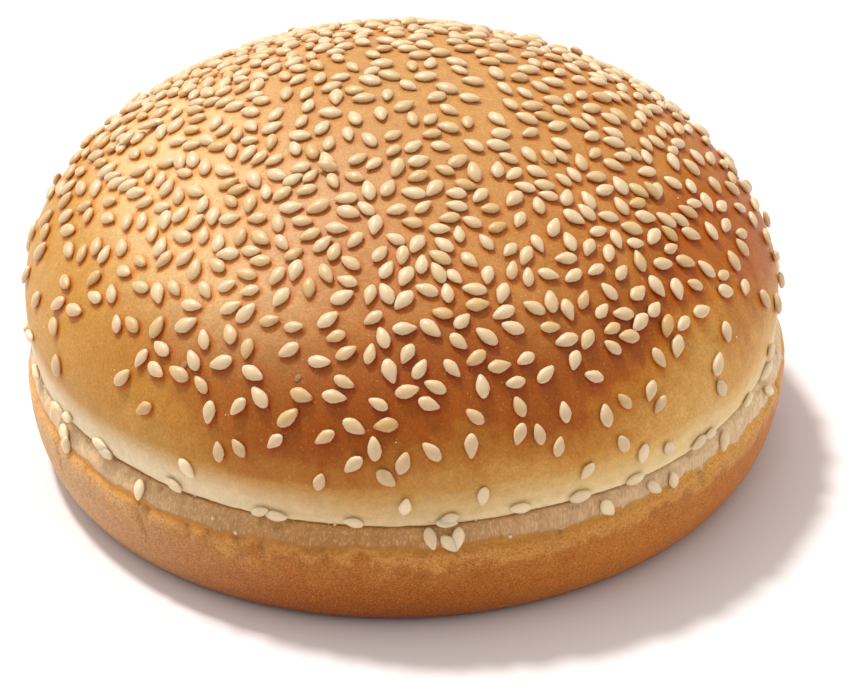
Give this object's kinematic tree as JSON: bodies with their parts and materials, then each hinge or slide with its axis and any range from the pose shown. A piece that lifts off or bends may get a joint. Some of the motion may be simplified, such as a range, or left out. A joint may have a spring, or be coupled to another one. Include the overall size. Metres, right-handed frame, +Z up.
{
  "type": "sesame burger bun",
  "caption": "Uncut round burger bun with a domed golden crown, a pale torn seam above a browned heel, and sesame seeds baked onto the crust; stands on its flat base.",
  "frame": {"origin": "middle of the flat base that the bun stands on", "axes": "+Z up through the top of the crown, -Y towards the viewer in front, +X to the viewer's right"},
  "size_m": [0.1051, 0.1049, 0.0543],
  "materials": {
    "crust": "soft satin golden-brown crust, paler and matte at the torn seam, cream sesame seeds"
  },
  "bodies": {
    "root": {"bun": "crust"}
  },
  "joints": []
}
